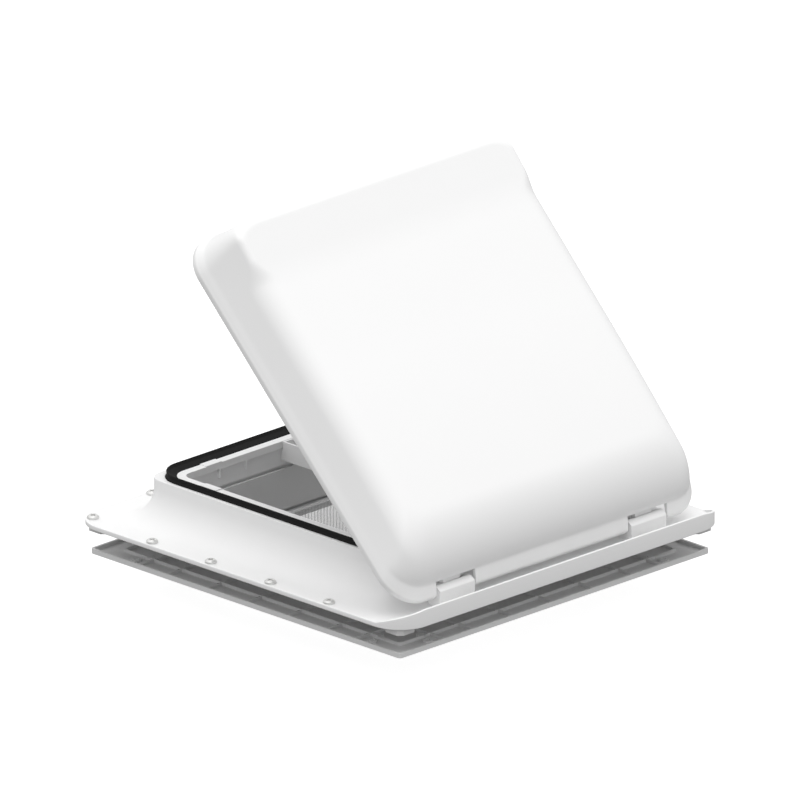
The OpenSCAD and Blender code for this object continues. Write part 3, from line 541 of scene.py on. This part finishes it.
def lid_surface(wall, arc=18, side=54):
    """Rings up the side of the lid, then a grid over its top."""
    rings = []
    low = SKIRT_Z0
    if wall == 0:
        for i in range(5):
            a = math.radians(90 * i / 4)
            inset = 0.9 - 0.9 * math.sin(a)
            rings.append(lid_level(inset, inset, inset, LID_R - inset, low + 0.9 - 0.9 * math.cos(a),
                                   -1, 0, arc, side))
    else:
        rings.append(lid_level(-0.5, -0.5, -0.5, LID_R, low, -1, wall, arc, side))
        rings.append(lid_level(0, 0, 0, LID_R, low + 0.5, -1, wall, arc, side))
    # the skirt turns into the bevel, and the bevel into the dome, through small blends
    drop = wall * 0.35
    z1 = SKIRT_Z1 - drop
    turn = [(-1.6, 0), (-0.8, 0.05), (0, 0.25), (0.8, 0.75)]
    for dz, inset in turn:
        k = BEVEL_FRONT / BEVEL
        rings.append(lid_level(inset, inset * k, inset, LID_R - inset, z1 + dz, -1, wall, arc, side))
    for t in (0.3, 0.55, 0.8, 0.93):
        s = t ** 0.95
        rings.append([
            (p[0], p[1], z1 + (FOOT_Z - wall - z1) * t) for p in
            lid_level(BEVEL * s, BEVEL_FRONT * s, BEVEL * s, LID_R - R_BEVEL * s, 0, -1, wall, arc, side)])
    levels = [0.03, 0.08, 0.14, 0.2, 0.27, 0.34, 0.41, 0.48, 0.55, 0.61, 0.67, 0.725, 0.775, 0.82,
              0.86, 0.895, 0.925, 0.95, 0.97, 0.985, 0.995, 1.0]
    for f in levels:
        rings.append(lid_level(BEVEL + side_in(f), BEVEL_FRONT + front_in(f), BEVEL + back_in(f),
                               LID_R - R_BEVEL - R_DOME * f, 0, f, wall, arc, side))
    points, faces = skin(rings)
    # grid over the top, sharing the last ring
    count = len(rings[0])
    base = (len(rings) - 1) * count
    n = arc + side
    start = arc // 2

    def edge(k):
        return base + (start + k) % count

    # corners of the grid are the middles of the corner arcs
    sides = [[edge(n * q + i) for i in range(n + 1)] for q in range(4)]
    top, left, bottom, right = sides
    grid = [[None] * (n + 1) for _ in range(n + 1)]
    for i in range(n + 1):
        grid[n][n - i] = top[i]
        grid[n - i][0] = left[i]
        grid[0][i] = bottom[i]
        grid[i][n] = right[i]
    y_low, y_high = points[grid[0][0]][1], points[grid[n][0]][1]
    for j in range(1, n):
        left_p, right_p = points[grid[j][0]], points[grid[j][n]]
        near_low = 1 - smooth((left_p[1] - y_low) / BLEND_LOW)
        near_high = smooth((left_p[1] - y_high + BLEND_HIGH) / BLEND_HIGH)
        for i in range(1, n):
            below, above = points[grid[0][i]], points[grid[n][i]]
            x_low, x_high = points[grid[0][n]][0], points[grid[n][n]][0]
            across = (1 - j / n) * (below[0] / x_low + 1) / 2 + j / n * (above[0] / x_high + 1) / 2
            x = left_p[0] + (right_p[0] - left_p[0]) * across
            y = left_p[1] + near_low * (below[1] - y_low) + near_high * (above[1] - y_high)
            grid[j][i] = len(points)
            points.append((x, y, crown(x, y) - wall))
    for j in range(n):
        for i in range(n):
            faces.append((grid[j][i], grid[j][i + 1], grid[j + 1][i + 1], grid[j + 1][i]))
    return points, faces, count


def lid_piece():
    outer, outer_faces, count = lid_surface(0)
    inner, inner_faces, _ = lid_surface(WALL)
    base = len(outer)
    faces = list(outer_faces) + [tuple(i + base for i in reversed(f)) for f in inner_faces]
    for i in range(count):
        j = (i + 1) % count
        faces.append((i, i + base, j + base, j))
    mesh = bpy.data.meshes.new("lid_moulding")
    mesh.from_pydata([tuple(c * MM for c in p) for p in outer + inner], [], faces)
    obj = bpy.data.objects.new("lid_moulding", mesh)
    bpy.context.scene.collection.objects.link(obj)
    # notches for the hinge blocks
    half, deep, past = 23.8, 16, 5
    cutters = []
    for side in (-1, 1):
        x = side * HINGE_X
        low = (x - half, LID_FRONT - past, SKIRT_Z0 - past)
        high = (x + half, LID_FRONT + deep, FOOT_Z - 0.2)
        cutters.append(box_object(low, high))
    for cutter in cutters:
        cut = obj.modifiers.new("notch", "BOOLEAN")
        cut.operation = "DIFFERENCE"
        cut.solver = "EXACT"
        cut.object = cutter
    depsgraph = bpy.context.evaluated_depsgraph_get()
    result = bpy.data.meshes.new_from_object(obj.evaluated_get(depsgraph))
    obj.modifiers.clear()
    obj.data = result
    for cutter in cutters:
        bpy.data.objects.remove(cutter)
    for vertex in result.vertices:
        x, y, z = opened(tuple(c / MM for c in vertex.co))
        vertex.co = (x * MM, y * MM, z * MM)
    finish_mesh(obj, 34)
    result.materials.clear()
    result.materials.append(SHELL)
    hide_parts("lid_shell")
    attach(obj, "lid")


def box_object(low, high):
    mesh = bpy.data.meshes.new("cutter")
    work = bmesh.new()
    bmesh.ops.create_cube(work, size=1.0)
    for v in work.verts:
        for a in range(3):
            v.co[a] = (low[a] + (high[a] - low[a]) * (v.co[a] + 0.5)) * MM
    work.to_mesh(mesh)
    work.free()
    obj = bpy.data.objects.new("cutter", mesh)
    bpy.context.scene.collection.objects.link(obj)
    return obj


lid_piece()


def lid_rib():
    """The rib under the lid that presses on the seal."""
    section = fillet([(RIB_IN, RIB_TOP, 0), (RIB_IN, RIB_Z, 0.9),
                      (RIB_OUT, RIB_Z, 0.9), (RIB_OUT, RIB_TOP, 0)], 4)
    rings = []
    for h, z in section:
        ring = []
        for x, y in square(h, h - NECK_CORNER + 1, arc=16, side=24):
            if z > RIB_TOP - 1:
                ring.append(opened((x, y, lid_height(x, y) - RIB_SUNK)))
            else:
                ring.append(opened((x, y, z)))
        rings.append(ring)
    return skin(rings, closed=True)


points, faces = lid_rib()
piece("lid_seal_rib", points, faces, SHELL, "lid", slot="shell_plastic")

for node in ("lid_hinge_left", "lid_hinge_right"):
    softened(node, SHELL, "lid", 0.5, 3)
softened("lid_rail", PLATED, "lid", 0.35, 2)
softened("lid_rail_screws", STEEL, "lid", 0.2, 2)

# ---------- lift gear ----------

softened("arm_shaft", STEEL, "arm", 0.5, 2)
softened("worm_wheel", BRONZE, "arm", 0.12, 2)
softened("lift_arm", PLATED, "arm", 0.6, 3)
softened("arm_roller_pin", STEEL, "roller", 0.4, 2)
softened("arm_rollers", ACETAL, "roller", 0.3, 2)
softened("worm_shaft", STEEL, "crank", 0.15, 1, angle=50)
softened("crank_arm", TRIM, "crank", 0.9, 4)
softened("crank_screw", STEEL, "crank", 0.25, 2)
softened("knob_pin", STEEL, "crank", 0.25, 2)
softened("crank_knob", TRIM, "knob", 0.8, 4)


# ---------- floor, light and camera ----------

def stage():
    floor_z = cad_low[2] - 0.001
    mesh = bpy.data.meshes.new("floor")
    corners = [(-6, -6, floor_z), (6, -6, floor_z), (6, 6, floor_z), (-6, 6, floor_z)]
    mesh.from_pydata(corners, [], [(0, 1, 2, 3)])
    floor = bpy.data.objects.new("floor", mesh)
    bpy.context.scene.collection.objects.link(floor)
    mat = bpy.data.materials.new("pale_floor")
    mat.use_nodes = True
    bsdf = mat.node_tree.nodes["Principled BSDF"]
    bsdf.inputs["Base Color"].default_value = (0.3, 0.3, 0.3, 1)
    bsdf.inputs["Roughness"].default_value = 0.9
    bsdf.inputs["Specular IOR Level"].default_value = 0.1
    bsdf.inputs["Emission Color"].default_value = (1, 1, 1, 1)
    bsdf.inputs["Emission Strength"].default_value = 0.92
    mesh.materials.append(mat)
    floor.visible_diffuse = False
    floor.visible_glossy = False
    floor.visible_shadow = False

    world = bpy.data.worlds.new("studio")
    bpy.context.scene.world = world
    world.use_nodes = True
    tree = world.node_tree
    coords = tree.nodes.new("ShaderNodeTexCoord")
    split = tree.nodes.new("ShaderNodeSeparateXYZ")
    tree.links.new(coords.outputs["Generated"], split.inputs[0])

    def ranged(low, high, to_low, to_high):
        node = tree.nodes.new("ShaderNodeMapRange")
        for name, value in zip(("From Min", "From Max", "To Min", "To Max"), (low, high, to_low, to_high)):
            node.inputs[name].default_value = value
        tree.links.new(split.outputs["Z"], node.inputs["Value"])
        return node.outputs["Result"]

    def joined(kind, first, second):
        node = tree.nodes.new("ShaderNodeMath")
        node.operation = kind
        for socket, value in zip(node.inputs, (first, second)):
            if isinstance(value, float):
                socket.default_value = value
            else:
                tree.links.new(value, socket)
        return node.outputs["Value"]

    # dark below, brighter with height, brightest straight above
    dark_to, level, rise, overhead = -0.74, 0.665, 0.2, 1.3
    low_part = ranged(dark_to, 0.0, 0.0, level)
    high_part = ranged(0.0, 1.0, 0.0, 1.0)
    zenith = joined("MULTIPLY", joined("POWER", high_part, 3.0), overhead)
    total = joined("ADD", joined("ADD", low_part, joined("MULTIPLY", high_part, rise)), zenith)
    back = tree.nodes["Background"]
    tree.links.new(total, back.inputs["Strength"])
    back.inputs["Color"].default_value = (1, 1, 1, 1)


def camera():
    data = bpy.data.cameras.new("camera")
    data.type = "ORTHO"
    data.ortho_scale = 0.6867
    cam = bpy.data.objects.new("camera", data)
    bpy.context.scene.collection.objects.link(cam)
    back = Vector((-0.66446, -0.66446, 0.34202))
    cam.location = Vector((0, 0, 0.1123)) + back * 3
    cam.rotation_mode = "QUATERNION"
    cam.rotation_quaternion = (-back).to_track_quat("-Z", "Y")
    data.clip_end = 20
    bpy.context.scene.camera = cam


stage()
camera()
bpy.context.scene.view_settings.view_transform = "Standard"
